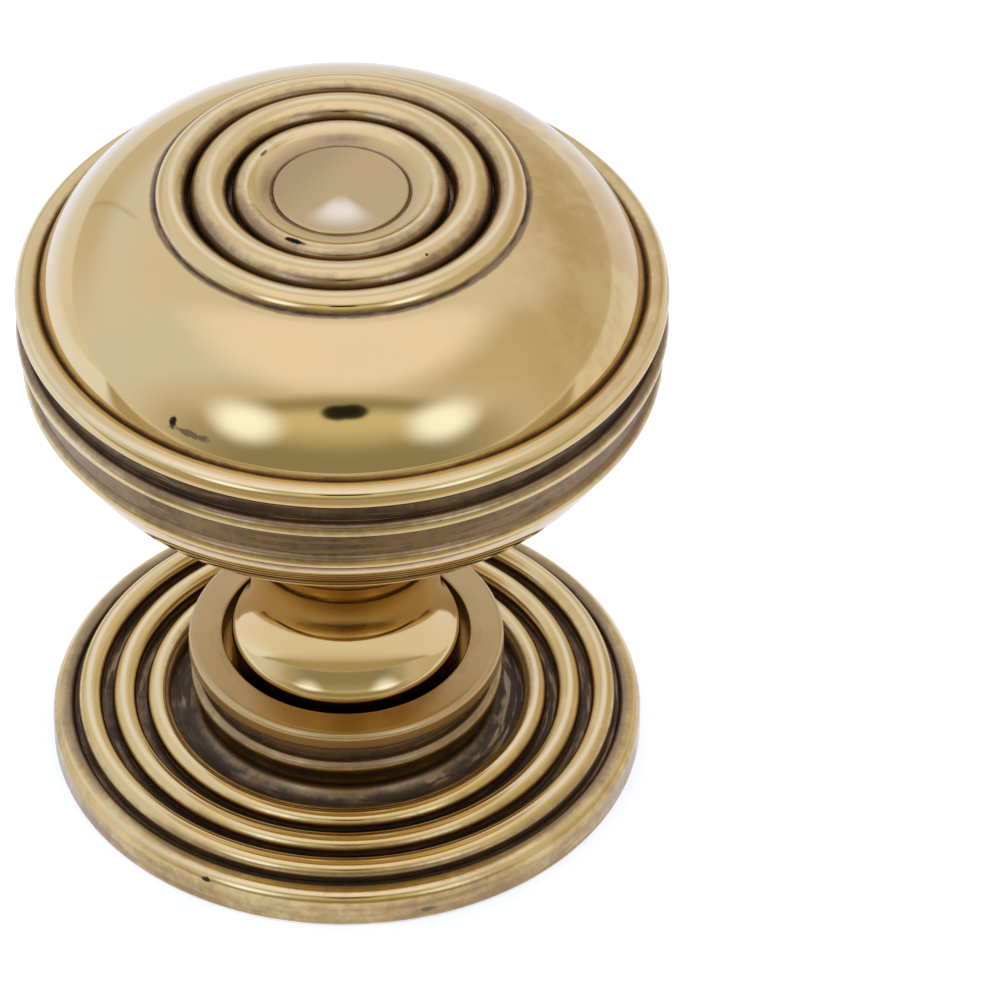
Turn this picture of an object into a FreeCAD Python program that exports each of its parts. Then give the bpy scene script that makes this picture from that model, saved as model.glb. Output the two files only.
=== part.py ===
import FreeCAD, Part
import math
import os
import re

import Sketcher

# Cabinet knob in turned brass: a reeded backplate and a knob whose foot stands in its collar.
# Both are turned about one axis. The origin is the middle of the backplate's back face and
# +Z runs out along that axis. Lengths are millimetres and turns are degrees.

sizes = {
    # Backplate
    "plateRadius": 20.6,
    "plateEdge": 1.75,
    "edgeBreak": 0.2,
    "rimRound": 1.0,
    "rimBack": 0.5,
    "grooveFloor": 2.4,
    "reedCount": 3,
    "reedStart": 3.1,
    "reedInset": 2.6,
    "reedWidthRatio": 0.708,
    "reedRaiseRatio": 0.706,
    "reedFall": 0.07,
    # Collar of the backplate
    "collarHeight": 8.9,
    "collarRadius": 11.0,
    "collarDisc": 1.6,
    "collarRound": 0.5,
    "mouthRound": 0.2,
    "stemInset": 0.9,
    "stemCove": 1.3,
    "ringHeight": 5.5,
    "ringRound": 0.6,
    "ringStand": 0.8,
    # Socket and screw
    "socketWall": 2.38,
    "socketFloor": 3.0,
    "screwHole": 2.3,
    "tapRadius": 1.73,
    "tapDepth": 14.0,
    "drillPoint": 118.0,
    # Foot and neck of the knob
    "footClearance": 0.65,
    "footBreak": 0.4,
    "lipRise": 0.2,
    "lipRound": 1.5,
    "lipTurn": 34.0,
    "neckInset": 1.41,
    # Head of the knob
    "drumRadius": 21.4,
    "drumHeight": 7.1,
    "seamHeight": 40.6,
    "seamInset": 0.87,
    "bowlInset": 0.45,
    "bowlRound": 10.2,
    "bowlTurn": 18.5,
    "flareBend": 14.0,
    "domeRise": 7.65,
    "domeRadius": 12.5,
    "domeRound": 11.5,
    "rimBeadInset": 0.2,
    "rimBeadDrop": 0.5,
    "rimBeadRound": 0.9,
    "midBeadStand": 0.1,
    "midBeadDrop": 3.15,
    "midBeadRound": 0.6,
    "lowBeadInset": 0.3,
    "lowBeadDrop": 6.2,
    "lowBeadRound": 0.65,
    # Crown of the head, inside the dome
    "crownFloor": 0.5,
    "outerBeadInset": 1.1,
    "outerBeadDrop": 0.2,
    "outerBeadRound": 1.1,
    "middleBeadInset": 3.65,
    "middleBeadDrop": 0.13,
    "middleBeadRound": 1.33,
    "innerBeadInset": 6.0,
    "innerBeadRise": 0.05,
    "innerBeadRound": 0.8,
    "dishRise": 0.7,
    "discInset": 7.8,
    "discRise": 0.43,
    "discDish": 0.18,
    "discEdge": 0.2,
    "creaseWidth": 0.12,
    "creaseDepth": 0.2,
}

doc = FreeCAD.newDocument("CabinetKnob")
sheet = doc.addObject("Spreadsheet::Sheet", "Sizes")
for row, (name, value) in enumerate(sizes.items(), start=1):
    sheet.set("A%d" % row, name)
    sheet.set("B%d" % row, str(value))
    sheet.setAlias("B%d" % row, name)
doc.recompute()

sizeWord = re.compile(r"\b(" + "|".join(sizes) + r")\b")


def number(formula):
    return float(sheet.evalExpression(formula))


def bind(sketch, constraint, formula):
    # Adds one dimension and ties it to the sheet.
    index = sketch.addConstraint(constraint)
    sketch.setExpression("Constraints[%d]" % index, sizeWord.sub(r"Sizes.\1", formula))


def newSketch(body, name):
    # A sketch on the plane through the axis: its x is the radius and its y the height.
    plane = [item for item in body.Origin.OriginFeatures if item.Role == "XZ_Plane"][0]
    sketch = body.newObject("Sketcher::SketchObject", name)
    sketch.AttachmentSupport = [(plane, "")]
    sketch.MapMode = "FlatFace"
    doc.recompute()
    return sketch


def place(sketch, edge, end, radius, height):
    # Puts one end of an edge at a radius and a height.
    if radius == "0":
        sketch.addConstraint(Sketcher.Constraint("PointOnObject", edge, end, -2))
    else:
        bind(sketch, Sketcher.Constraint("DistanceX", -1, 1, edge, end, number(radius)), radius)
    if height == "0":
        sketch.addConstraint(Sketcher.Constraint("PointOnObject", edge, end, -1))
    else:
        bind(sketch, Sketcher.Constraint("DistanceY", -1, 1, edge, end, number(height)), height)


def arcBetween(first, last, radius, side):
    # An arc from first to last with its centre on the left of that way (side 1) or the right (-1).
    half = (last - first) * 0.5
    across = FreeCAD.Vector(-half.y, half.x, 0).normalize()
    centre = first + half + across * side * math.sqrt(radius ** 2 - half.Length ** 2)
    ends = (first, last) if side > 0 else (last, first)
    turns = [math.atan2(end.y - centre.y, end.x - centre.x) for end in ends]
    circle = Part.Circle(centre, FreeCAD.Vector(0, 0, 1), radius)
    return Part.ArcOfCircle(circle, turns[0], turns[1])


def drawOutline(sketch, corners):
    # Each corner is a radius, a height and what runs on from it to the next corner:
    # nothing for a straight line, or an arc's radius and the side of its centre.
    points = [FreeCAD.Vector(number(corner[0]), number(corner[1]), 0) for corner in corners]
    starts = []
    ends = []
    for index, corner in enumerate(corners):
        first = points[index]
        last = points[(index + 1) % len(points)]
        if len(corner) == 2:
            edge = sketch.addGeometry(Part.LineSegment(first, last), False)
            starts.append((edge, 1))
            ends.append((edge, 2))
        else:
            arcRadius, side = corner[2:]
            edge = sketch.addGeometry(arcBetween(first, last, number(arcRadius), side), False)
            starts.append((edge, 1 if side > 0 else 2))
            ends.append((edge, 2 if side > 0 else 1))
            bind(sketch, Sketcher.Constraint("Radius", edge, number(arcRadius)), arcRadius)
    for index, (radius, height) in enumerate(corner[:2] for corner in corners):
        edge, end = starts[index]
        sketch.addConstraint(Sketcher.Constraint("Coincident", *ends[index - 1], edge, end))
        place(sketch, edge, end, radius, height)


def turn(body, name, sketch, kind="PartDesign::Revolution"):
    # Turns a sketch a full circle about the axis.
    feature = body.newObject(kind, name)
    feature.Profile = sketch
    feature.ReferenceAxis = (sketch, ["V_Axis"])
    feature.Angle = 360
    sketch.Visibility = False
    doc.recompute()
    return feature


def turnBead(body, name, radius, height, beadRound):
    # A round bead: a circle turned about the axis, sunk in the blank.
    sketch = newSketch(body, name + "Section")
    centre = FreeCAD.Vector(number(radius), number(height), 0)
    circle = Part.Circle(centre, FreeCAD.Vector(0, 0, 1), number(beadRound))
    edge = sketch.addGeometry(circle, False)
    place(sketch, edge, 3, radius, height)
    bind(sketch, Sketcher.Constraint("Radius", edge, number(beadRound)), beadRound)
    return turn(body, name, sketch)


# The socket in the collar takes the foot of the knob, so both pieces use its radius.
socketRadius = "(collarRadius - socketWall)"


def makeBackplate():
    body = doc.addObject("PartDesign::Body", "BackplateBody")
    body.Label = "backplate"
    bandHeight = "plateEdge + rimRound"
    bandRadius = "plateRadius - rimRound"
    discFoot = "collarHeight - collarDisc"
    stemRadius = "collarRadius - stemInset"
    outline = newSketch(body, "BackplateOutline")
    drawOutline(outline, [
        ("screwHole", "0"),
        ("plateRadius - edgeBreak", "0"),
        ("plateRadius", "edgeBreak"),
        ("plateRadius", "plateEdge", "rimRound", 1),
        (bandRadius, bandHeight, "rimBack", 1),
        (bandRadius + " - rimBack", "grooveFloor"),
        (stemRadius + " + stemCove", "grooveFloor", "stemCove", -1),
        (stemRadius, "grooveFloor + stemCove"),
        (stemRadius, discFoot),
        ("collarRadius - collarRound", discFoot, "collarRound", 1),
        ("collarRadius", discFoot + " + collarRound"),
        ("collarRadius", "collarHeight - collarRound", "collarRound", 1),
        ("collarRadius - collarRound", "collarHeight"),
        (socketRadius + " + mouthRound", "collarHeight", "mouthRound", 1),
        (socketRadius, "collarHeight - mouthRound"),
        (socketRadius, "socketFloor"),
        ("screwHole", "socketFloor"),
    ])
    turn(body, "BackplateBlank", outline)
    reedCount = int(sizes["reedCount"])
    firstReed = "(%s + reedStart)" % stemRadius
    reedPitch = "(plateRadius - reedInset - %s) / (reedCount - 1)" % firstReed
    reedRound = "reedWidthRatio / 2 * " + reedPitch
    for reed in range(reedCount):
        radius = "%s + %d * %s" % (firstReed, reed, reedPitch)
        height = "grooveFloor + reedRaiseRatio * %s - %d * reedFall" % (reedRound, reed)
        turnBead(body, "Reed%d" % (reed + 1), radius, height, reedRound)
    ringRadius = stemRadius + " + ringStand - ringRound"
    turnBead(body, "CollarRing", ringRadius, "ringHeight", "ringRound")
    return body


def makeKnob():
    body = doc.addObject("PartDesign::Body", "KnobBody")
    body.Label = "knob"

    # The foot is a plug with a rounded lip, and a cove sweeps from the lip up to the neck.
    footRadius = socketRadius + " - footClearance"
    lipHeight = "collarHeight + lipRise"
    lipEndRadius = footRadius + " - lipRound * (1 - cos(lipTurn))"
    lipEndHeight = lipHeight + " + lipRound * sin(lipTurn)"
    neckRadius = "(%s - neckInset)" % footRadius
    neckCove = "(%s - %s) / (1 - cos(lipTurn))" % (lipEndRadius, neckRadius)
    neckHeight = "(%s + %s * sin(lipTurn))" % (lipEndHeight, neckCove)

    # Over the neck a flare bends out into a straight cone, which runs smoothly into the bowl
    # of the head. The longer the reach for its rise, the further the flare bends.
    bowlRadius = "(drumRadius - bowlInset)"
    bowlTop = "(seamHeight - drumHeight)"
    flareTurn = "(atan((%s - %s) / (%s - %s)) + flareBend * 1 deg)" % (
        bowlRadius, neckRadius, bowlTop, neckHeight)
    bowlLowRadius = "(%s - bowlRound * (cos(bowlTurn) - cos(%s)))" % (bowlRadius, flareTurn)
    bowlLowHeight = "(%s + bowlRound * (sin(bowlTurn) - sin(%s)))" % (bowlTop, flareTurn)
    flareRound = "(((%s - %s) * sin(%s) - (%s - %s) * cos(%s)) / (1 - cos(%s)))" % (
        bowlLowHeight, neckHeight, flareTurn, bowlLowRadius, neckRadius, flareTurn, flareTurn)
    flareEndRadius = "%s + %s * (1 - cos(%s))" % (neckRadius, flareRound, flareTurn)
    flareEndHeight = "%s + %s * sin(%s)" % (neckHeight, flareRound, flareTurn)

    # The dome ends at a crown of three beads round a shallow dished disc.
    domeTop = "seamHeight + domeRise"
    crownFloor = domeTop + " - crownFloor"
    dishTop = domeTop + " + dishRise"
    discTop = domeTop + " + discRise"
    outerBead = "domeRadius - outerBeadInset"
    middleBead = "domeRadius - middleBeadInset"
    innerBead = "domeRadius - innerBeadInset"
    discRadius = "domeRadius - discInset"
    discRim = discRadius + " - creaseWidth"
    discFlat = "(%s - discEdge)" % discRim
    discRound = "(%s ^ 2 + discDish ^ 2) / (2 * discDish)" % discFlat

    outline = newSketch(body, "KnobOutline")
    drawOutline(outline, [
        ("0", "socketFloor"),
        (footRadius + " - footBreak", "socketFloor"),
        (footRadius, "socketFloor + footBreak"),
        (footRadius, lipHeight, "lipRound", 1),
        (lipEndRadius, lipEndHeight, neckCove, -1),
        (neckRadius, neckHeight, flareRound, -1),
        (flareEndRadius, flareEndHeight),
        (bowlLowRadius, bowlLowHeight, "bowlRound", 1),
        (bowlRadius, bowlTop),
        (bowlRadius, "seamHeight - lowBeadDrop"),
        ("drumRadius", "seamHeight - lowBeadDrop"),
        ("drumRadius", "seamHeight"),
        ("drumRadius - seamInset", "seamHeight", "domeRound", 1),
        ("domeRadius", domeTop),
        (outerBead, domeTop),
        (outerBead, crownFloor),
        (innerBead, crownFloor),
        (innerBead, dishTop),
        (discRadius + " + creaseWidth", discTop + " - discEdge / 2"),
        (discRadius, discTop + " - creaseDepth - discEdge / 2"),
        (discRim, discTop + " - discEdge", "discEdge", 1),
        (discFlat, discTop, discRound, -1),
        ("0", discTop + " - discDish"),
    ])
    turn(body, "KnobBlank", outline)
    beads = [
        ("RimBead", "drumRadius - rimBeadInset", "seamHeight - rimBeadDrop", "rimBeadRound"),
        ("MidBead", "drumRadius + midBeadStand", "seamHeight - midBeadDrop", "midBeadRound"),
        ("LowBead", "drumRadius - lowBeadInset", "seamHeight - lowBeadDrop", "lowBeadRound"),
        ("OuterBead", outerBead, domeTop + " - outerBeadDrop", "outerBeadRound"),
        ("MiddleBead", middleBead, domeTop + " - middleBeadDrop", "middleBeadRound"),
        ("InnerBead", innerBead, domeTop + " + innerBeadRise", "innerBeadRound"),
    ]
    for name, radius, height, beadRound in beads:
        turnBead(body, name, radius, height, beadRound)

    # The screw's hole is drilled up from the foot and ends in the drill's point.
    drilled = newSketch(body, "TapSection")
    drawOutline(drilled, [
        ("0", "socketFloor"),
        ("tapRadius", "socketFloor"),
        ("tapRadius", "socketFloor + tapDepth"),
        ("0", "socketFloor + tapDepth + tapRadius / tan(drillPoint / 2)"),
    ])
    turn(body, "TapHole", drilled, "PartDesign::Groove")
    return body


parts = [makeBackplate(), makeKnob()]
doc.recompute()

for item in doc.Objects:
    if "Invalid" in item.State or "Error" in item.State:
        raise RuntimeError("%s failed: %s" % (item.Name, item.State))
for body in parts:
    shape = body.Shape
    if shape.isNull() or not shape.isValid() or len(shape.Solids) != 1:
        raise RuntimeError("%s is not one sound solid" % body.Label)

os.makedirs("parts", exist_ok=True)
for body in parts:
    body.Shape.exportStep("parts/%s.step" % body.Label)
    box = body.Shape.BoundBox
    print("%s: volume %.1f mm3, height %.2f to %.2f mm, diameter %.2f mm" % (
        body.Label, body.Shape.Volume, box.ZMin, box.ZMax, box.XLength))
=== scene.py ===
import math

import bmesh
import bpy
from mathutils import Matrix, Vector


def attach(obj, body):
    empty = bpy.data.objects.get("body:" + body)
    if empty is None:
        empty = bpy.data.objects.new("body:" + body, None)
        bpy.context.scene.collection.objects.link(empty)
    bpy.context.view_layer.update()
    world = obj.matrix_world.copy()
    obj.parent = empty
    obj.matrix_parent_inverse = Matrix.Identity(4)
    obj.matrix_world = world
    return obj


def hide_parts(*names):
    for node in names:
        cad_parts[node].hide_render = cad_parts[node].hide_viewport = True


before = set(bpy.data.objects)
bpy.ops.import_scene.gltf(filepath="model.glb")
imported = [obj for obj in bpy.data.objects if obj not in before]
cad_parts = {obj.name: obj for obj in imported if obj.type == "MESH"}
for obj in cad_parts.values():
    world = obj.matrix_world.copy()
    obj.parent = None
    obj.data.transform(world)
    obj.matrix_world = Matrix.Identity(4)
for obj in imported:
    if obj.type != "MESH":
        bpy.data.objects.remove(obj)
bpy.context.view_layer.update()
mm = 0.001
scene = bpy.context.scene
scene.view_settings.view_transform = "Standard"


# camera

camera = {
    "lens": 324.0,
    "sensorWidth": 36.0,
    "nearest": 0.01,
    "farthest": 50.0,
    "distance": 633.8 * mm,
    "elevation": 41.599,
    "roll": -0.193,
    "shiftRight": 10.7535 * mm,   # how far the knob's axis stands left of the frame's middle
    "shiftUp": 15.6191 * mm,      # and how far its foot stands below it
}


def addCamera(look):
    tilt = math.radians(look["elevation"])
    roll = math.radians(look["roll"])
    right = Vector((1, 0, 0))
    up = Vector((0, math.sin(tilt), math.cos(tilt)))
    ahead = Vector((0, math.cos(tilt), -math.sin(tilt)))
    side = right * math.cos(roll) - up * math.sin(roll)
    top = right * math.sin(roll) + up * math.cos(roll)
    data = bpy.data.cameras.new("camera")
    data.lens = look["lens"]
    data.sensor_width = look["sensorWidth"]
    data.clip_start = look["nearest"]
    data.clip_end = look["farthest"]
    cam = bpy.data.objects.new("camera", data)
    scene.collection.objects.link(cam)
    place = side * look["shiftRight"] + top * look["shiftUp"] - ahead * look["distance"]
    cam.matrix_world = Matrix((
        (side.x, top.x, -ahead.x, place.x),
        (side.y, top.y, -ahead.y, place.y),
        (side.z, top.z, -ahead.z, place.z),
        (0, 0, 0, 1),
    ))
    scene.camera = cam


addCamera(camera)
print("camera in place")


# lathe work: a wire in the XZ plane, run on by lines and arcs, then spun about Z

hold = 0.05            # how close the points stand that keep a corner crisp under smooth shading
shortLine = 6 * hold   # a line up to this length needs none
arcEnds = 6            # and each end of an arc takes this part of it at the most
leastArcSteps = 3
sameSpot = 1e-7        # metres
seamGap = 1e-6


def wirePoint(bm, tip, radius, height):
    there = Vector((radius * mm, 0, height * mm))
    if tip is None:
        return bm.verts.new(there)
    if (tip.co - there).length < sameSpot:
        return tip
    made = bmesh.ops.extrude_vert_indiv(bm, verts=[tip])["verts"][0]
    made.co = there
    return made


def wireLine(bm, tip, radius, height):
    if tip is not None:
        first = tip.co / mm
        way = Vector((radius, 0, height)) - first
        if way.length > shortLine:
            near = first + way.normalized() * hold
            far = first + way - way.normalized() * hold
            tip = wirePoint(bm, tip, near.x, near.z)
            tip = wirePoint(bm, tip, far.x, far.z)
    return wirePoint(bm, tip, radius, height)


def wireArc(bm, tip, arc, step):
    radius, height, size, first, last = arc
    angle = math.radians(first)
    tip = wireLine(bm, tip, radius + size * math.cos(angle), height + size * math.sin(angle))
    whole = math.radians(last - first)
    edge = math.copysign(min(hold / size, abs(whole) / arcEnds), whole)
    rest = whole - 2 * edge
    restSteps = max(leastArcSteps, round(math.degrees(abs(rest)) / step))
    for sweep, steps in ((edge, 1), (rest, restSteps), (edge, 1)):
        turned = bmesh.ops.spin(
            bm, geom=[tip], cent=(radius * mm, 0, height * mm), axis=(0, -1, 0),
            angle=sweep, steps=steps, use_duplicate=False)
        tip = [part for part in turned["geom_last"] if isinstance(part, bmesh.types.BMVert)][0]
    return tip


def nearness(radius, height, spots):
    # strength at the middle of the nearest spot, 0 at its reach and less than 0 beyond
    return max(strength - strength * math.hypot(radius - spotRadius, height - spotHeight) / reach
               for spotRadius, spotHeight, reach, strength in spots)


def latheTurn(name, piece):
    bm = bmesh.new()
    grime = bm.verts.layers.float.new("grime")
    satin = bm.verts.layers.float.new("satin")
    wearAndSheen = bm.verts.layers.float.new("wearAndSheen")
    tip = None
    for stroke in piece["outline"]:
        if len(stroke) == 2:
            tip = wireLine(bm, tip, *stroke)
        else:
            tip = wireArc(bm, tip, stroke, piece["step"])
    for vert in bm.verts:
        radius = vert.co.x / mm
        height = vert.co.z / mm
        vert[grime] = nearness(radius, height, piece["grooves"])
        vert[satin] = nearness(radius, height, piece["satin"])
        vert[wearAndSheen] = nearness(radius, height, piece["crests"])
    if piece["closed"]:
        bm.verts.ensure_lookup_table()
        bm.edges.new((tip, bm.verts[0]))
    bmesh.ops.spin(bm, geom=bm.verts[:] + bm.edges[:], cent=(0, 0, 0), axis=(0, 0, 1),
                   angle=math.tau, steps=piece["turns"], use_merge=True, use_duplicate=False)
    bmesh.ops.remove_doubles(bm, verts=bm.verts, dist=seamGap)
    bmesh.ops.recalc_face_normals(bm, faces=bm.faces)
    for face in bm.faces:
        face.smooth = True
    mesh = bpy.data.meshes.new(name)
    bm.to_mesh(mesh)
    bm.free()
    made = bpy.data.objects.new(name, mesh)
    scene.collection.objects.link(made)
    print(name, "turned,", len(mesh.polygons), "faces")
    return made


# nodes

def fill(tree, socket, value):
    if isinstance(value, bpy.types.NodeSocket):
        tree.links.new(value, socket)
    else:
        socket.default_value = value


def addNode(tree, kind, settings=(), **inputs):
    # an input goes by its number, as i0, or by its name with _ for a space
    node = tree.nodes.new(kind)
    for key, value in dict(settings).items():
        setattr(node, key, value)
    for key, value in inputs.items():
        known = int(key[1:]) if key[1:].isdigit() else key.replace("_", " ")
        fill(tree, node.inputs[known], value)
    return node


def mathNode(tree, operation, first, second=0.0, third=0.0):
    node = addNode(tree, "ShaderNodeMath", {"operation": operation}, i0=first, i1=second, i2=third)
    return node.outputs[0]


def times(tree, first, second):
    return mathNode(tree, "MULTIPLY", first, second)


def vary(tree, noise, amount, value):
    # a noise is 0.5 on the whole, so that this sways the value to either side
    return mathNode(tree, "MULTIPLY_ADD", mathNode(tree, "SUBTRACT", noise, 0.5), amount, value)


def spread(tree, value, low, high, toLow=0.0, toHigh=1.0):
    return addNode(tree, "ShaderNodeMapRange", {"interpolation_type": "SMOOTHSTEP"}, Value=value,
                   From_Min=low, From_Max=high, To_Min=toLow, To_Max=toHigh).outputs[0]


def blend(tree, amount, first, second):
    node = addNode(tree, "ShaderNodeMix", {"data_type": "RGBA"}, i0=amount, i6=first, i7=second)
    return node.outputs[2]


def vectorNode(tree, operation, first, second=(0.0, 0.0, 0.0)):
    return addNode(tree, "ShaderNodeVectorMath", {"operation": operation}, i0=first, i1=second)


def cloud(tree, place, look):
    scale, detail, roughness = look
    noise = addNode(tree, "ShaderNodeTexNoise", Vector=place, Scale=scale, Detail=detail, Roughness=roughness)
    return noise.outputs[0]


def fromAxis(tree, x, y):
    flat = addNode(tree, "ShaderNodeCombineXYZ", X=x, Y=y, Z=0.0).outputs[0]
    return flat, vectorNode(tree, "LENGTH", flat).outputs["Value"]


# effects that both brasses share, one node group each

def newGroup(name, ins, outs):
    group = bpy.data.node_groups.new(name, "ShaderNodeTree")
    for label, value in ins.items():
        kind = "NodeSocketVector" if isinstance(value, tuple) else "NodeSocketFloat"
        group.interface.new_socket(label, in_out="INPUT", socket_type=kind).default_value = value
    for label in outs:
        group.interface.new_socket(label, in_out="OUTPUT", socket_type="NodeSocketFloat")
    return group, group.nodes.new("NodeGroupInput").outputs, group.nodes.new("NodeGroupOutput").inputs


def placeGroup(tree, group, values):
    node = addNode(tree, "ShaderNodeGroup", {"node_tree": group})
    for label, value in values.items():
        fill(tree, node.inputs[label], value)
    return node.outputs


def makeTurnMarks():
    # fine marks that run round the axis, as a lathe and a polishing wheel leave them
    group, ins, outs = newGroup(
        "turnMarks", {"Length": 1.0, "Fineness": 900.0, "Detail": 3.0, "Roughness": 0.6}, ["Marks"])
    place = addNode(group, "ShaderNodeTexCoord").outputs["Object"]
    x, y, z = addNode(group, "ShaderNodeSeparateXYZ", Vector=place).outputs
    flat, radius = fromAxis(group, x, y)
    outward = vectorNode(group, "NORMALIZE", flat).outputs[0]
    along = addNode(group, "ShaderNodeVectorMath", {"operation": "SCALE"}, i0=outward, Scale=ins["Length"])
    across = times(group, mathNode(group, "ADD", radius, z), ins["Fineness"])
    lift = addNode(group, "ShaderNodeCombineXYZ", X=0.0, Y=0.0, Z=across).outputs[0]
    where = vectorNode(group, "ADD", along.outputs[0], lift).outputs[0]
    noise = addNode(group, "ShaderNodeTexNoise", Vector=where, Scale=1.0, Detail=ins["Detail"],
                    Roughness=ins["Roughness"])
    fill(group, outs["Marks"], noise.outputs[0])
    return group


def makeGrooveDirt():
    # dirt gathers in the grooves, broken up by noise and by the turning marks
    group, ins, outs = newGroup("grooveDirt", {
        "Broad": 0.5, "Fine": 0.5, "Marks": 0.5,
        "Patchiness": 0.8, "Speckle": 0.45, "Streakiness": 0.45,
        "Haze From": -0.22, "Haze To": 0.35, "Dirt From": 0.28, "Dirt To": 0.78,
        "Rubbed Marks From": 0.49, "Rubbed Marks To": 0.59,
        "Rubbed Patch From": 0.43, "Rubbed Patch To": 0.56, "Rubbed Share": 0.8,
    }, ["Dirt", "Haze"])
    grime = addNode(group, "ShaderNodeAttribute", {"attribute_name": "grime"}).outputs["Fac"]
    patchy = vary(group, ins["Broad"], ins["Patchiness"], grime)
    patchy = vary(group, ins["Fine"], ins["Speckle"], patchy)
    streaky = vary(group, ins["Marks"], ins["Streakiness"], patchy)
    # it is rubbed through in streaks, where the metal shows again
    streak = spread(group, ins["Marks"], ins["Rubbed Marks From"], ins["Rubbed Marks To"])
    patch = spread(group, ins["Broad"], ins["Rubbed Patch From"], ins["Rubbed Patch To"])
    rubbed = times(group, times(group, streak, patch), ins["Rubbed Share"])
    thick = spread(group, streaky, ins["Dirt From"], ins["Dirt To"])
    fill(group, outs["Dirt"], times(group, thick, mathNode(group, "SUBTRACT", 1.0, rubbed)))
    fill(group, outs["Haze"], spread(group, streaky, ins["Haze From"], ins["Haze To"]))
    return group


def makeBrownSide():
    # the right-hand side is browner and faintly mottled
    group, ins, outs = newGroup("brownSide", {
        "Broad": 0.5, "Blotch": 0.5, "Blotch Share": 0.45, "Back Lean": 0.45,
        "Side From": 4 * mm, "Side To": 14 * mm, "Mottle From": 0.42, "Mottle To": 0.56, "Share": 0.5,
    }, ["Brown"])
    place = addNode(group, "ShaderNodeTexCoord").outputs["Object"]
    x, y, z = addNode(group, "ShaderNodeSeparateXYZ", Vector=place).outputs
    broadShare = mathNode(group, "SUBTRACT", 1.0, ins["Blotch Share"])
    blotch = times(group, ins["Blotch"], ins["Blotch Share"])
    mottle = mathNode(group, "MULTIPLY_ADD", ins["Broad"], broadShare, blotch)
    rightBack = mathNode(group, "MULTIPLY_ADD", y, ins["Back Lean"], x)
    brown = times(group, spread(group, rightBack, ins["Side From"], ins["Side To"]),
                  spread(group, mottle, ins["Mottle From"], ins["Mottle To"]))
    fill(group, outs["Brown"], times(group, brown, ins["Share"]))
    return group


def makeCrestWearAndSheen():
    # the crests of the beads are painted brighter, partly handling wear and partly a painted highlight line
    # along each crest, more in some places than in others
    group, ins, outs = newGroup("crestWearAndSheen", {
        "Broad": 0.5, "Full At": 0.8, "Patch From": 0.3, "Patch To": 0.6, "Least": 0.35, "Share": 0.75,
    }, ["Crest"])
    wearAndSheen = addNode(group, "ShaderNodeAttribute", {"attribute_name": "wearAndSheen"}).outputs["Fac"]
    patch = spread(group, ins["Broad"], ins["Patch From"], ins["Patch To"], ins["Least"], 1.0)
    crest = times(group, spread(group, wearAndSheen, 0.0, ins["Full At"]), patch)
    fill(group, outs["Crest"], times(group, crest, ins["Share"]))
    return group


def makeScarAndShadeMark():
    # how much of a small mark covers a place: 1 inside, ragged at its edge
    group, ins, outs = newGroup("scarAndShadeMark", {
        "Fine": 0.5, "At": (0.0, 0.0, 0.0), "Turn": 0.0, "Size": (1.0, 1.0, 1.0),
        "Ragged": 1.2, "Core": 0.6, "Share": 1.0,
    }, ["Cover"])
    place = addNode(group, "ShaderNodeTexCoord").outputs["Object"]
    spot = vectorNode(group, "SUBTRACT", place, ins["At"]).outputs[0]
    turned = addNode(group, "ShaderNodeVectorRotate", {"rotation_type": "Z_AXIS"},
                     Vector=spot, Angle=ins["Turn"]).outputs[0]
    sized = vectorNode(group, "DIVIDE", turned, ins["Size"]).outputs[0]
    away = vectorNode(group, "LENGTH", sized).outputs["Value"]
    ragged = vary(group, ins["Fine"], ins["Ragged"], away)
    fill(group, outs["Cover"], spread(group, ragged, 1.0, ins["Core"], 0.0, ins["Share"]))
    return group


turnMarks = makeTurnMarks()
grooveDirt = makeGrooveDirt()
brownSide = makeBrownSide()
crestWearAndSheen = makeCrestWearAndSheen()
scarAndShadeMark = makeScarAndShadeMark()
print("shared effects made")


# brass

def scarAndShadeCover(tree, fine, look):
    right, back, height = look["at"]
    values = {
        "Fine": fine,
        "At": Vector(look["at"]) * mm,
        "Turn": -math.atan2(right, -back),
        "Size": [extent * mm for extent in look["size"]],   # along the ring, outwards and up
    }
    values.update(look.get("edge", {}))
    return placeGroup(tree, scarAndShadeMark, values)["Cover"]


def lightDish(tree, place, dulled, colour, dish):
    # a painted highlight: a pale fan in the dish towards the viewer, where the lathe's fine rings draw out
    # the light
    x, y, z = addNode(tree, "ShaderNodeSeparateXYZ", Vector=place).outputs
    flat, radius = fromAxis(tree, x, y)
    facing = mathNode(tree, "DIVIDE", times(tree, y, -1.0), radius)
    fanHighlight = times(tree, spread(tree, facing, *dish["fanFacing"]), spread(tree, radius, *dish["fanStart"]))
    fanHighlight = times(tree, fanHighlight, spread(tree, radius, *dish["fanEnd"]))
    # and a painted shade darkens its far left
    leanBack, leanLeft = dish["shadeLean"]
    lean = mathNode(tree, "SUBTRACT", times(tree, y, leanBack), times(tree, x, leanLeft))
    shade = times(tree, spread(tree, lean, *dish["shadeReach"]), dish["shadeShare"])
    colour = blend(tree, times(tree, shade, dulled), colour, dish["shade"])
    return blend(tree, times(tree, fanHighlight, dulled), colour, dish["fanHighlight"])


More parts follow.
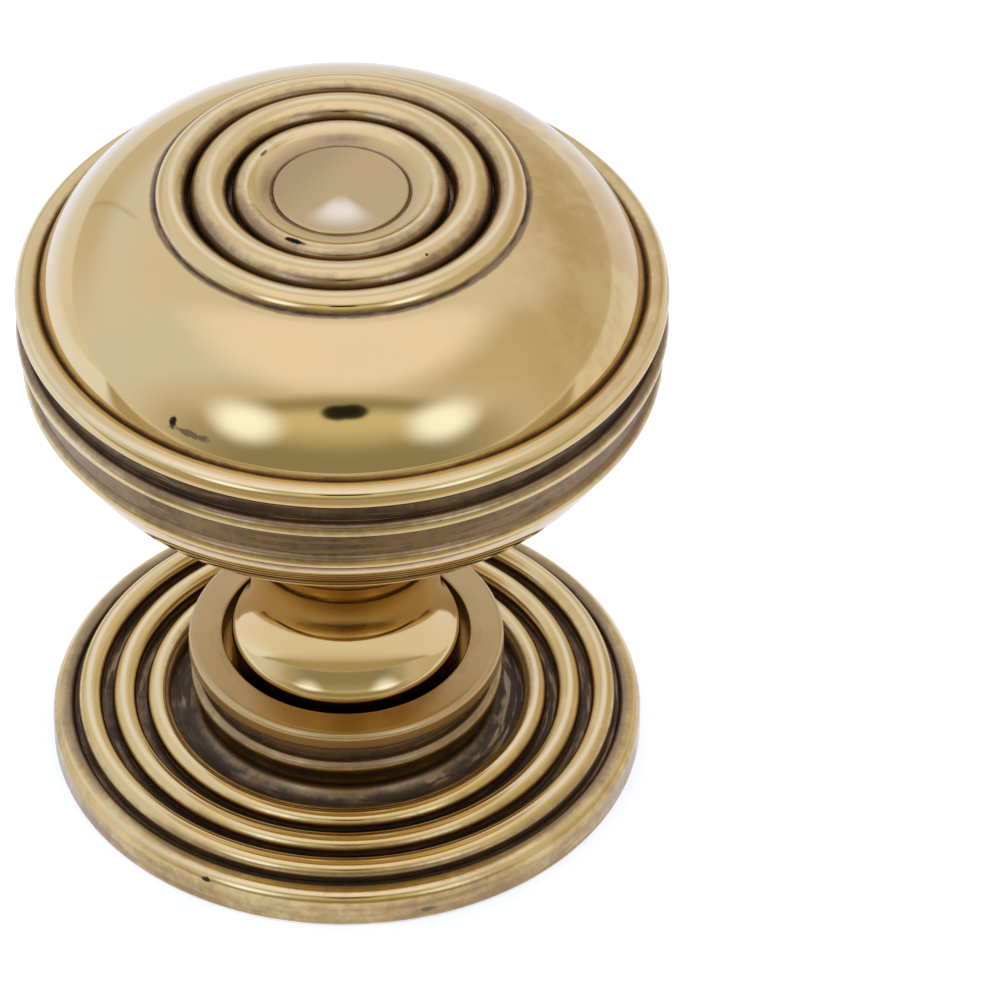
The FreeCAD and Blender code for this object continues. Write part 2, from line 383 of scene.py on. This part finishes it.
def brass(name, finish):
    material = bpy.data.materials.new(name)
    material.use_nodes = True
    tree = material.node_tree
    shader = tree.nodes["Principled BSDF"]
    place = addNode(tree, "ShaderNodeTexCoord").outputs["Object"]
    satin = addNode(tree, "ShaderNodeAttribute", {"attribute_name": "satin"}).outputs["Fac"]
    broad = cloud(tree, place, finish["broad"])
    blotch = cloud(tree, place, finish["blotch"])
    fine = cloud(tree, place, finish["fine"])
    marks = placeGroup(tree, turnMarks, finish["marks"])["Marks"]
    fineMarks = placeGroup(tree, turnMarks, finish["fineMarks"])["Marks"]
    groove = placeGroup(tree, grooveDirt, {"Broad": broad, "Fine": fine, "Marks": marks})
    dirt = groove["Dirt"]
    haze = groove["Haze"]
    brown = placeGroup(tree, brownSide, {
        "Broad": broad, "Blotch": blotch, "Share": finish["brownShare"]})["Brown"]
    crest = placeGroup(tree, crestWearAndSheen, {"Broad": broad})["Crest"]
    dulled = times(tree, spread(tree, satin, *finish["satinEdge"]), finish["satinShare"])

    colour = blend(tree, spread(tree, broad, *finish["warmEdge"]), finish["metal"], finish["metalWarm"])
    colour = blend(tree, brown, colour, finish["brown"])
    # painted highlight along the bead crests, with some wear
    colour = blend(tree, crest, colour, finish["wearAndSheen"])
    colour = blend(tree, dulled, colour, finish["satin"])
    if finish["dish"]:
        # painted highlight fan and painted shade in the dish
        colour = lightDish(tree, place, dulled, colour, finish["dish"])
    colour = blend(tree, haze, colour, finish["tarnish"])
    marksShare = finish["streakMarks"]
    streaks = mathNode(tree, "MULTIPLY_ADD", marks, marksShare, times(tree, blotch, 1.0 - marksShare))
    dark = blend(tree, spread(tree, streaks, *finish["streakEdge"]), finish["dirt"], finish["dirtPale"])
    colour = blend(tree, dirt, colour, dark)

    rough = mathNode(tree, "MULTIPLY_ADD", haze, finish["hazeRoughness"], finish["roughness"])
    rough = mathNode(tree, "MULTIPLY_ADD", brown, finish["brownRoughness"], rough)
    rough = mathNode(tree, "MULTIPLY_ADD", dulled, finish["satinRoughness"], rough)
    rough = mathNode(tree, "MULTIPLY_ADD", dirt, finish["dirtRoughness"], rough)
    # nicks and scratches, and painted shade patches in the dish
    for look in finish["scarsAndShade"]:
        cover = scarAndShadeCover(tree, fine, look)
        colour = blend(tree, cover, colour, look["colour"])
        rough = mathNode(tree, "MULTIPLY_ADD", cover, finish["scarAndShadeRoughness"], rough)
    fill(tree, shader.inputs["Base Color"], colour)
    fill(tree, shader.inputs["Roughness"], rough)
    fill(tree, shader.inputs["Metallic"], mathNode(tree, "MULTIPLY_ADD", dirt, -finish["dirtCover"], 1.0))

    # years of polishing leave the surface very slightly wavy under its marks
    waves = cloud(tree, place, finish["waves"])
    wavy = addNode(tree, "ShaderNodeBump", Strength=1.0, Distance=finish["waveDepth"],
                   Height=waves).outputs[0]
    height = mathNode(tree, "MULTIPLY_ADD", times(tree, fineMarks, dulled), finish["satinDepth"], marks)
    marked = addNode(tree, "ShaderNodeBump", Strength=finish["bump"], Distance=finish["markDepth"],
                     Height=height, Normal=wavy).outputs[0]
    fill(tree, shader.inputs["Normal"], marked)
    return material


# knob: lines are (radius, height), arcs (radius, height, size, first angle, last angle), all in mm

knob = {
    "turns": 240,
    "step": 6.0,                                      # degrees of an arc to a face
    "closed": False,
    "outline": [
        (0, 18.04), (1.73, 17.0), (1.73, 3.0),        # blind hole
        (7.57, 3.0), (7.97, 3.4), (7.97, 5.0),        # foot
        (6.47, 9.1, 1.5, 0, 34),                      # its bowl
        (13.307, 13.712, 6.747, 213, 180),            # neck
        (18.905, 13.712, 12.345, 179, 130),           # hollow under the head
        (11.277, 36.737, 10.2, -50, -18.6),
        (21.1, 34.4, 0.65, -103.3, 62.5),             # lower bead
        (21.5, 37.45, 0.6, -99.6, 99.6),              # middle bead
        (21.2, 40.1, 0.9, -77.2, 143.5),              # rim bead
        (9.566, 37.131, 11.5, 17.9, 21),              # dome, finer at its two ends
        (9.566, 37.131, 11.5, 21, 71.5),
        (9.566, 37.131, 11.5, 71.5, 75.2),
        (11.4, 48.05, 1.1, 10.5, 195.8),              # the crown's three beads
        (8.85, 48.12, 1.33, -16.15, 196.15),
        (6.5, 48.3, 0.8, -43.43, 125.92),
        (5.327, 49.92, 1.2, -54.08, -77.63),          # cove down into the dish
        (4.82, 48.58), (4.7, 48.38),
        (4.38, 48.48, 0.2, 0, 90),                    # disc in the dish
        (0, 101.88, 53.38, -85.4, -90),
    ],
    # spots on the outline: radius, height, reach and strength
    "grooves": [
        (20.45, 40.55, 0.5, 0.8),                     # foot of the dome
        (21.25, 38.55, 1.27, 1.25),                   # between the beads of the rim
        (21.2, 35.95, 1.45, 1.25),
        (20.9, 33.6, 0.6, 0.6),
        (12.5, 48.2, 0.32, 0.9),                      # round the crown and between its beads
        (10.05, 47.6, 1.62, 1.2),
        (7.35, 47.65, 1.52, 1.12),
        (4.72, 48.35, 0.22, 0.9),                     # round the disc
        (7.9, 6.0, 2.6, 1.2),                         # down in the collar
    ],
    "satin": [(0, 48.5, 6.7, 1.0)],
    # where the crests are painted brighter: wear and a painted highlight line
    "crests": [
        (21.8, 40.77, 0.26, 1.0), (22.1, 37.5, 0.2, 0.7),
        (11.4, 49.15, 0.26, 1.0), (8.85, 49.45, 0.26, 1.0), (6.35, 49.09, 0.24, 0.9),
    ],
}

polished = {
    "metal": (0.68, 0.50, 0.215, 1),
    "metalWarm": (0.72, 0.51, 0.22, 1),
    "warmEdge": (0.35, 0.65),
    "brown": (0.52, 0.32, 0.12, 1),
    "brownShare": 0.5,
    # crest colour: wear and a painted highlight
    "wearAndSheen": (0.88, 0.72, 0.42, 1),
    "satin": (0.54, 0.375, 0.165, 1),
    "satinShare": 0.85,
    "satinEdge": (0.08, 0.3),
    "tarnish": (0.29, 0.185, 0.09, 1),
    "dirt": (0.08, 0.051, 0.026, 1),
    "dirtPale": (0.20, 0.135, 0.075, 1),
    "dirtCover": 0.25,                 # how much less of a metal the dirt is
    "streakMarks": 0.6,                # the rest of the streaks in the dirt is blotches
    "streakEdge": (0.46, 0.64),
    "roughness": 0.075,
    "hazeRoughness": 0.14,             # what each of these adds to it
    "brownRoughness": 0.12,
    "satinRoughness": 0.22,
    "dirtRoughness": 0.25,
    "scarAndShadeRoughness": 0.3,
    "broad": (120.0, 4.0, 0.6),        # noises: scale, detail and roughness
    "blotch": (420.0, 6.0, 0.75),
    "fine": (1500.0, 4.0, 0.7),
    "waves": (150.0, 1.0, 0.5),
    "waveDepth": 0.03 * mm,
    "marks": {"Length": 3.0, "Fineness": 2600.0, "Detail": 3.0},
    "fineMarks": {"Length": 9.0, "Fineness": 14000.0, "Detail": 2.0},
    "markDepth": 0.02 * mm,
    "bump": 0.05,
    "satinDepth": 1.5,                 # how much deeper the fine marks are where it is satin
    "dish": {
        # colour of the painted highlight fan
        "fanHighlight": (0.98, 0.84, 0.60, 1),
        "fanFacing": (0.70, 1.0),
        "fanStart": (0.1 * mm, 1.9 * mm),
        "fanEnd": (4.6 * mm, 2.2 * mm),
        # colour of the painted shade on the dish's far left
        "shade": (0.38, 0.25, 0.12, 1),
        "shadeShare": 0.7,
        "shadeLean": (0.6, 0.8),
        "shadeReach": (0.0, 4.5 * mm),
    },
    "scarsAndShade": [
        {"at": (-2.9, -5.95, 49.1), "size": (0.9, 0.28, 0.5), "colour": (0.012, 0.010, 0.008, 1)},
        {"at": (-5.25, 3.3, 49.0), "size": (0.45, 0.13, 0.4), "colour": (0.22, 0.14, 0.08, 1)},
        # a painted shade patch on the far part of the dish
        {"at": (0.0, 5.3, 48.7), "size": (3.2, 0.8, 0.9), "colour": (0.33, 0.21, 0.125, 1),
         "edge": {"Ragged": 0.8, "Core": -0.3}},
        # a painted shade patch, golden-dark, on the left of the dish
        {"at": (-5.0, 0.4, 48.7), "size": (2.8, 0.8, 0.9), "colour": (0.36, 0.24, 0.08, 1),
         "edge": {"Ragged": 0.8, "Core": -0.3}},
        {"at": (7.2, 1.2, 48.8), "size": (1.4, 0.35, 0.8), "colour": (0.30, 0.13, 0.04, 1),
         "edge": {"Ragged": 2.2}},
        {"at": (5.8, -7.5, 49.3), "size": (0.14, 0.12, 0.4), "colour": (0.08, 0.06, 0.04, 1)},
        {"at": (-10.9, -16.5, 42.4), "size": (0.36, 0.3, 0.5), "colour": (0.03, 0.025, 0.015, 1),
         "edge": {"Ragged": 2.0}},
        {"at": (-9.7, -17.4, 42.1), "size": (2.0, 0.2, 0.3), "colour": (0.12, 0.09, 0.06, 1),
         "edge": {"Ragged": 2.4, "Share": 0.8}},
    ],
}

knobPiece = latheTurn("knob_turned", knob)
knobPiece.data.materials.append(brass("polishedBrass", polished))
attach(knobPiece, "root")
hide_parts("knob")


# backplate, in the same way

backplate = {
    "turns": 240,
    "step": 6.0,
    "closed": True,
    "outline": [
        (2.3, 0), (20.4, 0), (20.6, 0.2), (20.6, 0.35), (20.6, 1.65),   # back and rim
        (19.6, 1.75, 1.0, 0, 90),
        (19.57, 2.26, 0.49, 88, 164),
        (19.1, 2.4), (18.71, 2.4),
        (18.0, 2.86, 0.85, -32.8, 212.8),                               # three reeds
        (15.6, 2.93, 0.85, -38.6, 218.6),
        (13.2, 3.0, 0.85, -44.9, 224.9),
        (11.4, 3.7, 1.3, 270, 180),                                     # cove
        (10.3, 5.5, 0.6, -109.5, 109.5),                                # ring
        (10.1, 7.3),
        (10.5, 7.8, 0.5, -90, 0),                                       # collar
        (10.5, 8.4, 0.5, 0, 90),
        (10.3, 8.9), (9.1, 8.9),
        (8.82, 8.7, 0.2, 90, 180),                                      # socket
        (8.62, 3.0), (2.3, 3.0),
    ],
    "grooves": [
        (19.0, 2.35, 1.0, 0.95),                                        # round the reeds
        (16.65, 2.25, 1.22, 1.15),
        (14.25, 2.25, 1.22, 1.15),
        (11.5, 2.5, 1.8, 1.25),                                         # cove
        (10.1, 4.5, 0.5, 0.4),
        (10.1, 6.95, 0.35, 0.3),
        (8.6, 6.0, 2.7, 1.2),                                           # socket
        (21.5, 0.8, 1.5, 0.5),                                          # rim
    ],
    "satin": [(9.8, 8.9, 3.0, 1.0)],
    # where the crests are painted brighter: wear and a painted highlight line
    "crests": [
        (18.1, 3.71, 0.28, 1.0), (15.7, 3.78, 0.28, 1.0), (13.3, 3.85, 0.28, 1.0),
        (20.15, 2.5, 0.25, 0.6), (10.9, 8.72, 0.2, 0.9), (10.85, 5.6, 0.2, 0.6),
    ],
}

satinFinish = dict(
    polished,
    metal=(0.71, 0.53, 0.235, 1),
    metalWarm=(0.66, 0.45, 0.155, 1),
    brownShare=0.3,
    satin=(0.42, 0.26, 0.10, 1),
    satinShare=0.7,
    tarnish=(0.32, 0.21, 0.10, 1),
    dirt=(0.085, 0.054, 0.029, 1),
    dirtPale=(0.17, 0.112, 0.06, 1),
    roughness=0.14,
    bump=0.1,
    dish=None,
    scarsAndShade=[
        {"at": (-9.4, -18.25, 2.2), "size": (0.5, 0.2, 0.25), "colour": (0.05, 0.04, 0.03, 1),
         "edge": {"Ragged": 1.8}},
        {"at": (5.9, -19.75, 0.9), "size": (0.8, 0.3, 0.25), "colour": (0.20, 0.15, 0.10, 1),
         "edge": {"Ragged": 2.4}},
    ],
)

platePiece = latheTurn("backplate_turned", backplate)
platePiece.data.materials.append(brass("satinBrass", satinFinish))
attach(platePiece, "root")
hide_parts("backplate")


# floor

floorLook = {
    "radius": 2.5,
    "segments": 96,
    "colour": (0.90, 0.87, 0.76, 1),
    "roughness": 0.9,
    "lift": (0.40, 0.44, 0.52, 1),         # added to what the camera sees, so that only shadow shows
    "mirrored": (1.0, 1.05, 1.25, 1),      # the floor as the brass mirrors it
    "mirroredLeft": (1.08, 1.26, 1.85, 1),
    "leftLean": 0.5,
    "leftFrom": (0.03, 0.14),              # metres from the knob
    "mirroredFront": (0.52, 0.46, 0.32, 1),
    "frontFrom": (-0.02, -0.075),
    "mirroredBack": (0.95, 1.02, 1.25, 1),
    "backFrom": (0.06, 0.2),
    "mirrorShare": 0.9,
}


def addFloor(look):
    bm = bmesh.new()
    bmesh.ops.create_circle(bm, cap_ends=True, segments=look["segments"], radius=look["radius"])
    mesh = bpy.data.meshes.new("floor")
    bm.to_mesh(mesh)
    bm.free()
    floor = bpy.data.objects.new("floor", mesh)
    scene.collection.objects.link(floor)
    material = bpy.data.materials.new("paleFloor")
    material.use_nodes = True
    tree = material.node_tree
    shader = tree.nodes["Principled BSDF"]
    shader.inputs["Base Color"].default_value = look["colour"]
    shader.inputs["Roughness"].default_value = look["roughness"]
    shader.inputs["Specular IOR Level"].default_value = 0.0
    seen = addNode(tree, "ShaderNodeLightPath")
    lift = addNode(tree, "ShaderNodeEmission", Color=look["lift"], Strength=1.0)
    lifted = addNode(tree, "ShaderNodeAddShader", i0=shader.outputs[0], i1=lift.outputs[0])
    plain = addNode(tree, "ShaderNodeMixShader", i0=seen.outputs["Is Camera Ray"],
                    i1=shader.outputs[0], i2=lifted.outputs[0])
    place = addNode(tree, "ShaderNodeTexCoord").outputs["Object"]
    x, y, z = addNode(tree, "ShaderNodeSeparateXYZ", Vector=place).outputs
    leftBack = mathNode(tree, "SUBTRACT", times(tree, y, look["leftLean"]), x)
    tone = blend(tree, spread(tree, leftBack, *look["leftFrom"]), look["mirrored"], look["mirroredLeft"])
    tone = blend(tree, spread(tree, y, *look["frontFrom"]), tone, look["mirroredFront"])
    tone = blend(tree, spread(tree, y, *look["backFrom"]), tone, look["mirroredBack"])
    mirrored = addNode(tree, "ShaderNodeEmission", Color=tone, Strength=1.0)
    share = times(tree, seen.outputs["Is Glossy Ray"], look["mirrorShare"])
    both = addNode(tree, "ShaderNodeMixShader", i0=share, i1=plain.outputs[0], i2=mirrored.outputs[0])
    fill(tree, tree.nodes["Material Output"].inputs["Surface"], both.outputs[0])
    mesh.materials.append(material)


addFloor(floorLook)
print("floor in place")


# light tent: colours by the way the brass looks, with turns and rises in degrees

tent = {
    "wall": (0.88, 0.985, 1.35, 1),
    "rightWall": (0.72, 0.71, 0.675, 1),
    "rightWallFrom": (-0.3, 0.5),
    "backLow": (0.76, 0.76, 0.78, 1),
    "backLowFrom": (0.2, 0.8),
    "backLowRise": (26.0, 10.0),
    "nearHem": (0.78, 0.795, 0.89, 1),
    "nearHemReach": (1.5, 1.1),
    "roof": (1.12, 1.18, 1.58, 1),
    "roofRise": (44.0, 66.0),
    "backHigh": (0.90, 0.95, 1.22, 1),
    "backHighFrom": (0.12, 0.34),
    "backHighRise": (26.0, 44.0),
    "frontLow": (0.38, 0.37, 0.30, 1),       # out through the open front
    "frontHigh": (0.84, 0.84, 0.71, 1),
    "frontRise": (10.0, 34.0),
    "arch": (0.42, 0.413, 0.324, 1),         # the front is an arch, with a darker hem
    "archHalfWidth": 57.0,
    "archHeight": 50.0,
    "archOuter": 1.10,
    "archInner": 0.82,
    "softRise": (44.0, 22.0),                # lower down its edge is softer
    "softOuter": 0.25,
    "softInner": -0.27,
    "hemMiddle": 0.95,
    "hemHalfWidth": 0.18,
    "hemFade": -0.75,
    "seamTurn": 144.0,                       # a thin seam runs down each back corner
    "seamWidth": (0.8, 0.1),
    "seamShare": 0.45,
    "seamRise": (34.0, 28.0),
    "lampGlow": (1.42, 1.72, 2.6, 1),        # two soft lamps stand either side of the camera
    "lamps": [(-36.0, 25.5), (38.7, 24.5)],
    "lampSpread": (18.0, 4.0),
    "lensColour": (0.02, 0.02, 0.012, 1),    # whose lens is the dark spot over them
    "lenses": [(-1.4, 41.0), (5.0, 41.5)],
    "lensSpread": (6.2, 4.0),
    "ground": (1.0, 1.05, 1.25, 1),
    "groundRise": (1.0, -1.0),
}


def wayTo(turn, rise):
    turn = math.radians(turn)
    rise = math.radians(rise)
    return math.sin(turn) * math.cos(rise), -math.cos(turn) * math.cos(rise), math.sin(rise)


def awayFrom(tree, way, spot):
    facing = vectorNode(tree, "DOT_PRODUCT", way, wayTo(*spot)).outputs["Value"]
    return mathNode(tree, "DEGREES", mathNode(tree, "ARCCOSINE", mathNode(tree, "MINIMUM", facing, 1.0)))


def tentWalls(tree, x, y, rise, reach, look):
    colour = blend(tree, spread(tree, x, *look["rightWallFrom"]), look["wall"], look["rightWall"])
    low = times(tree, spread(tree, y, *look["backLowFrom"]), spread(tree, rise, *look["backLowRise"]))
    colour = blend(tree, low, colour, look["backLow"])
    colour = blend(tree, spread(tree, reach, *look["nearHemReach"]), colour, look["nearHem"])
    colour = blend(tree, spread(tree, rise, *look["roofRise"]), colour, look["roof"])
    high = times(tree, spread(tree, y, *look["backHighFrom"]), spread(tree, rise, *look["backHighRise"]))
    return blend(tree, high, colour, look["backHigh"])


def tentFront(tree, rise, reach, colour, look):
    opening = blend(tree, spread(tree, rise, *look["frontRise"]), look["frontLow"], look["frontHigh"])
    soft = spread(tree, rise, *look["softRise"])
    outer = mathNode(tree, "MULTIPLY_ADD", soft, look["softOuter"], look["archOuter"])
    inner = mathNode(tree, "MULTIPLY_ADD", soft, look["softInner"], look["archInner"])
    colour = blend(tree, spread(tree, reach, outer, inner), colour, opening)
    off = mathNode(tree, "ABSOLUTE", mathNode(tree, "SUBTRACT", reach, look["hemMiddle"]))
    fade = mathNode(tree, "MULTIPLY_ADD", soft, look["hemFade"], 1.0)
    hem = times(tree, spread(tree, off, look["hemHalfWidth"], 0.0), fade)
    return blend(tree, hem, colour, look["arch"])


def tentSeams(tree, turn, rise, colour, look):
    off = mathNode(tree, "SUBTRACT", mathNode(tree, "ABSOLUTE", turn), look["seamTurn"])
    seam = spread(tree, mathNode(tree, "ABSOLUTE", off), *look["seamWidth"], 0.0, look["seamShare"])
    return blend(tree, times(tree, seam, spread(tree, rise, *look["seamRise"])), colour, look["arch"])


def addTent(look):
    world = bpy.data.worlds.new("lightTent")
    world.use_nodes = True
    scene.world = world
    tree = world.node_tree
    tree.nodes.clear()
    way = addNode(tree, "ShaderNodeTexCoord").outputs["Generated"]
    x, y, z = addNode(tree, "ShaderNodeSeparateXYZ", Vector=way).outputs
    turn = mathNode(tree, "DEGREES", mathNode(tree, "ARCTAN2", x, times(tree, y, -1.0)))
    rise = mathNode(tree, "DEGREES", mathNode(tree, "ARCSINE", z))
    across = mathNode(tree, "DIVIDE", turn, look["archHalfWidth"])
    upward = mathNode(tree, "DIVIDE", rise, look["archHeight"])
    squares = mathNode(tree, "ADD", times(tree, across, across), times(tree, upward, upward))
    reach = mathNode(tree, "SQRT", squares)   # 1 on the arch

    colour = tentWalls(tree, x, y, rise, reach, look)
    colour = tentFront(tree, rise, reach, colour, look)
    colour = tentSeams(tree, turn, rise, colour, look)
    for lamp in look["lamps"]:
        glow = spread(tree, awayFrom(tree, way, lamp), *look["lampSpread"])
        colour = blend(tree, glow, colour, look["lampGlow"])
    for lens in look["lenses"]:
        spot = spread(tree, awayFrom(tree, way, lens), *look["lensSpread"])
        colour = blend(tree, spot, colour, look["lensColour"])
    colour = blend(tree, spread(tree, rise, *look["groundRise"]), colour, look["ground"])

    lit = addNode(tree, "ShaderNodeBackground", Color=colour, Strength=1.0)
    white = addNode(tree, "ShaderNodeBackground", Color=(1, 1, 1, 1), Strength=1.0)
    seen = addNode(tree, "ShaderNodeLightPath")
    both = addNode(tree, "ShaderNodeMixShader", i0=seen.outputs["Is Camera Ray"],
                   i1=lit.outputs[0], i2=white.outputs[0])
    addNode(tree, "ShaderNodeOutputWorld", Surface=both.outputs[0])


addTent(tent)
print("light tent in place")
